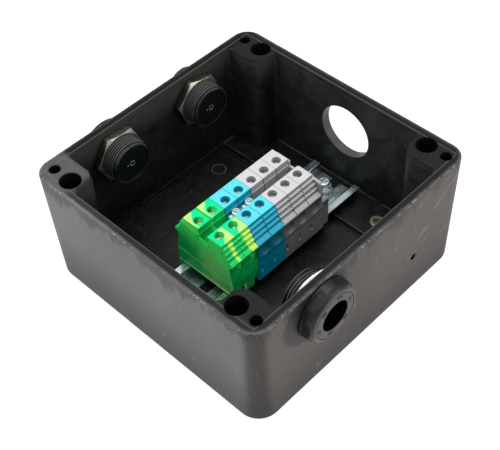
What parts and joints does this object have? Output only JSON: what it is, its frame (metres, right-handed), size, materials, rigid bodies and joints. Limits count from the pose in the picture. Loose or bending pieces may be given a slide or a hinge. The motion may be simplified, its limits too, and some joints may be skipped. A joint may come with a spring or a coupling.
{
  "type": "dc combiner box",
  "caption": "Square black moulded junction enclosure without its lid, holding a rail of green-yellow, blue and grey screw terminals, threaded wall plugs and open cable entries.",
  "frame": {"origin": "centre of the enclosure's flat underside", "axes": "+Z out of the open side, Y along the DIN rail, +X towards the wall with the threaded entry bushing"},
  "size_m": [0.172, 0.16, 0.075],
  "materials": {
    "box_grp": "semi-gloss black glass-reinforced polyester with fine scuffs",
    "black_polyamide": "satin moulded black polyamide",
    "green_yellow_polyamide": "satin green polyamide marbled with yellow",
    "blue_polyamide": "satin blue polyamide",
    "grey_polyamide": "satin light grey polyamide",
    "dark_polyamide": "satin dark grey polyamide",
    "zinc_steel": "bright zinc plate with a slight blue cast",
    "screw_steel": "dull zinc-plated steel",
    "tinned_copper": "matt tin plate",
    "nickel_brass": "nickel-plated brass",
    "brass": "turned brass",
    "seal_rubber": "matt black rubber"
  },
  "bodies": {
    "box": {"enclosure_base": "box_grp", "lid_screw_inserts": "brass", "rail_screw_inserts": "brass", "earth_insert": "brass", "din_rail": "zinc_steel", "rail_flat_washers": "zinc_steel", "rail_spacer_nuts": "zinc_steel", "rail_spring_washers": "zinc_steel", "rail_screws": "zinc_steel", "terminal_pe_1": "green_yellow_polyamide", "terminal_pe_2": "green_yellow_polyamide", "terminal_blue_1": "blue_polyamide", "terminal_blue_2": "blue_polyamide", "terminal_grey_1": "grey_polyamide", "terminal_grey_2": "grey_polyamide", "terminal_grey_3": "grey_polyamide", "current_bars": "tinned_copper", "pe_foot_bars": "zinc_steel", "end_plate": "grey_polyamide", "end_bracket": "dark_polyamide", "cross_connector": "zinc_steel", "cross_connector_screws": "zinc_steel", "stopping_plug_front": "black_polyamide", "stopping_plug_rear": "black_polyamide", "entry_bushing": "black_polyamide", "plug_locknuts": "nickel_brass", "bushing_locknut": "nickel_brass", "plug_seals": "seal_rubber", "bushing_seal": "seal_rubber"},
    "screw_pe_1_left": {"clamp_screw_pe_1_left": "screw_steel"},
    "cage_pe_1_left": {"clamp_cage_pe_1_left": "zinc_steel"},
    "screw_pe_1_right": {"clamp_screw_pe_1_right": "screw_steel"},
    "cage_pe_1_right": {"clamp_cage_pe_1_right": "zinc_steel"},
    "screw_pe_2_left": {"clamp_screw_pe_2_left": "screw_steel"},
    "cage_pe_2_left": {"clamp_cage_pe_2_left": "zinc_steel"},
    "screw_pe_2_right": {"clamp_screw_pe_2_right": "screw_steel"},
    "cage_pe_2_right": {"clamp_cage_pe_2_right": "zinc_steel"},
    "screw_blue_1_left": {"clamp_screw_blue_1_left": "screw_steel"},
    "cage_blue_1_left": {"clamp_cage_blue_1_left": "zinc_steel"},
    "screw_blue_1_right": {"clamp_screw_blue_1_right": "screw_steel"},
    "cage_blue_1_right": {"clamp_cage_blue_1_right": "zinc_steel"},
    "screw_blue_2_left": {"clamp_screw_blue_2_left": "screw_steel"},
    "cage_blue_2_left": {"clamp_cage_blue_2_left": "zinc_steel"},
    "screw_blue_2_right": {"clamp_screw_blue_2_right": "screw_steel"},
    "cage_blue_2_right": {"clamp_cage_blue_2_right": "zinc_steel"},
    "screw_grey_1_left": {"clamp_screw_grey_1_left": "screw_steel"},
    "cage_grey_1_left": {"clamp_cage_grey_1_left": "zinc_steel"},
    "screw_grey_1_right": {"clamp_screw_grey_1_right": "screw_steel"},
    "cage_grey_1_right": {"clamp_cage_grey_1_right": "zinc_steel"},
    "screw_grey_2_left": {"clamp_screw_grey_2_left": "screw_steel"},
    "cage_grey_2_left": {"clamp_cage_grey_2_left": "zinc_steel"},
    "screw_grey_2_right": {"clamp_screw_grey_2_right": "screw_steel"},
    "cage_grey_2_right": {"clamp_cage_grey_2_right": "zinc_steel"},
    "screw_grey_3_left": {"clamp_screw_grey_3_left": "screw_steel"},
    "cage_grey_3_left": {"clamp_cage_grey_3_left": "zinc_steel"},
    "screw_grey_3_right": {"clamp_screw_grey_3_right": "screw_steel"},
    "cage_grey_3_right": {"clamp_cage_grey_3_right": "zinc_steel"}
  },
  "joints": [
    {"name": "turn_pe_1_left", "type": "hinge", "parent": "box", "child": "screw_pe_1_left", "pos_m": [-0.0072, -0.03255, 0.049], "axis": [0, 0, -1], "range_deg": [0, 2058]},
    {"name": "lift_pe_1_left", "type": "slide", "parent": "box", "child": "cage_pe_1_left", "axis": [0, 0, 1], "range_m": [0, 0.004]},
    {"name": "turn_pe_1_right", "type": "hinge", "parent": "box", "child": "screw_pe_1_right", "pos_m": [0.0084, -0.03255, 0.049], "axis": [0, 0, -1], "range_deg": [0, 2058]},
    {"name": "lift_pe_1_right", "type": "slide", "parent": "box", "child": "cage_pe_1_right", "axis": [0, 0, 1], "range_m": [0, 0.004]},
    {"name": "turn_pe_2_left", "type": "hinge", "parent": "box", "child": "screw_pe_2_left", "pos_m": [-0.0072, -0.02265, 0.049], "axis": [0, 0, -1], "range_deg": [0, 2058]},
    {"name": "lift_pe_2_left", "type": "slide", "parent": "box", "child": "cage_pe_2_left", "axis": [0, 0, 1], "range_m": [0, 0.004]},
    {"name": "turn_pe_2_right", "type": "hinge", "parent": "box", "child": "screw_pe_2_right", "pos_m": [0.0084, -0.02265, 0.049], "axis": [0, 0, -1], "range_deg": [0, 2058]},
    {"name": "lift_pe_2_right", "type": "slide", "parent": "box", "child": "cage_pe_2_right", "axis": [0, 0, 1], "range_m": [0, 0.004]},
    {"name": "turn_blue_1_left", "type": "hinge", "parent": "box", "child": "screw_blue_1_left", "pos_m": [-0.0072, -0.01275, 0.049], "axis": [0, 0, -1], "range_deg": [0, 2058]},
    {"name": "lift_blue_1_left", "type": "slide", "parent": "box", "child": "cage_blue_1_left", "axis": [0, 0, 1], "range_m": [0, 0.004]},
    {"name": "turn_blue_1_right", "type": "hinge", "parent": "box", "child": "screw_blue_1_right", "pos_m": [0.0084, -0.01275, 0.049], "axis": [0, 0, -1], "range_deg": [0, 2058]},
    {"name": "lift_blue_1_right", "type": "slide", "parent": "box", "child": "cage_blue_1_right", "axis": [0, 0, 1], "range_m": [0, 0.004]},
    {"name": "turn_blue_2_left", "type": "hinge", "parent": "box", "child": "screw_blue_2_left", "pos_m": [-0.0072, -0.00285, 0.049], "axis": [0, 0, -1], "range_deg": [0, 2058]},
    {"name": "lift_blue_2_left", "type": "slide", "parent": "box", "child": "cage_blue_2_left", "axis": [0, 0, 1], "range_m": [0, 0.004]},
    {"name": "turn_blue_2_right", "type": "hinge", "parent": "box", "child": "screw_blue_2_right", "pos_m": [0.0084, -0.00285, 0.049], "axis": [0, 0, -1], "range_deg": [0, 2058]},
    {"name": "lift_blue_2_right", "type": "slide", "parent": "box", "child": "cage_blue_2_right", "axis": [0, 0, 1], "range_m": [0, 0.004]},
    {"name": "turn_grey_1_left", "type": "hinge", "parent": "box", "child": "screw_grey_1_left", "pos_m": [-0.0072, 0.00705, 0.049], "axis": [0, 0, -1], "range_deg": [0, 2058]},
    {"name": "lift_grey_1_left", "type": "slide", "parent": "box", "child": "cage_grey_1_left", "axis": [0, 0, 1], "range_m": [0, 0.004]},
    {"name": "turn_grey_1_right", "type": "hinge", "parent": "box", "child": "screw_grey_1_right", "pos_m": [0.0084, 0.00705, 0.049], "axis": [0, 0, -1], "range_deg": [0, 2058]},
    {"name": "lift_grey_1_right", "type": "slide", "parent": "box", "child": "cage_grey_1_right", "axis": [0, 0, 1], "range_m": [0, 0.004]},
    {"name": "turn_grey_2_left", "type": "hinge", "parent": "box", "child": "screw_grey_2_left", "pos_m": [-0.0072, 0.01695, 0.049], "axis": [0, 0, -1], "range_deg": [0, 2058]},
    {"name": "lift_grey_2_left", "type": "slide", "parent": "box", "child": "cage_grey_2_left", "axis": [0, 0, 1], "range_m": [0, 0.004]},
    {"name": "turn_grey_2_right", "type": "hinge", "parent": "box", "child": "screw_grey_2_right", "pos_m": [0.0084, 0.01695, 0.049], "axis": [0, 0, -1], "range_deg": [0, 2058]},
    {"name": "lift_grey_2_right", "type": "slide", "parent": "box", "child": "cage_grey_2_right", "axis": [0, 0, 1], "range_m": [0, 0.004]},
    {"name": "turn_grey_3_left", "type": "hinge", "parent": "box", "child": "screw_grey_3_left", "pos_m": [-0.0072, 0.02685, 0.049], "axis": [0, 0, -1], "range_deg": [0, 2058]},
    {"name": "lift_grey_3_left", "type": "slide", "parent": "box", "child": "cage_grey_3_left", "axis": [0, 0, 1], "range_m": [0, 0.004]},
    {"name": "turn_grey_3_right", "type": "hinge", "parent": "box", "child": "screw_grey_3_right", "pos_m": [0.0084, 0.02685, 0.049], "axis": [0, 0, -1], "range_deg": [0, 2058]},
    {"name": "lift_grey_3_right", "type": "slide", "parent": "box", "child": "cage_grey_3_right", "axis": [0, 0, 1], "range_m": [0, 0.004]}
  ],
  "couplings": [
    {"joint": "turn_pe_1_left", "follows": "lift_pe_1_left", "rad_per_m": 8976},
    {"joint": "turn_pe_1_right", "follows": "lift_pe_1_right", "rad_per_m": 8976},
    {"joint": "turn_pe_2_left", "follows": "lift_pe_2_left", "rad_per_m": 8976},
    {"joint": "turn_pe_2_right", "follows": "lift_pe_2_right", "rad_per_m": 8976},
    {"joint": "turn_blue_1_left", "follows": "lift_blue_1_left", "rad_per_m": 8976},
    {"joint": "turn_blue_1_right", "follows": "lift_blue_1_right", "rad_per_m": 8976},
    {"joint": "turn_blue_2_left", "follows": "lift_blue_2_left", "rad_per_m": 8976},
    {"joint": "turn_blue_2_right", "follows": "lift_blue_2_right", "rad_per_m": 8976},
    {"joint": "turn_grey_1_left", "follows": "lift_grey_1_left", "rad_per_m": 8976},
    {"joint": "turn_grey_1_right", "follows": "lift_grey_1_right", "rad_per_m": 8976},
    {"joint": "turn_grey_2_left", "follows": "lift_grey_2_left", "rad_per_m": 8976},
    {"joint": "turn_grey_2_right", "follows": "lift_grey_2_right", "rad_per_m": 8976},
    {"joint": "turn_grey_3_left", "follows": "lift_grey_3_left", "rad_per_m": 8976},
    {"joint": "turn_grey_3_right", "follows": "lift_grey_3_right", "rad_per_m": 8976}
  ]
}
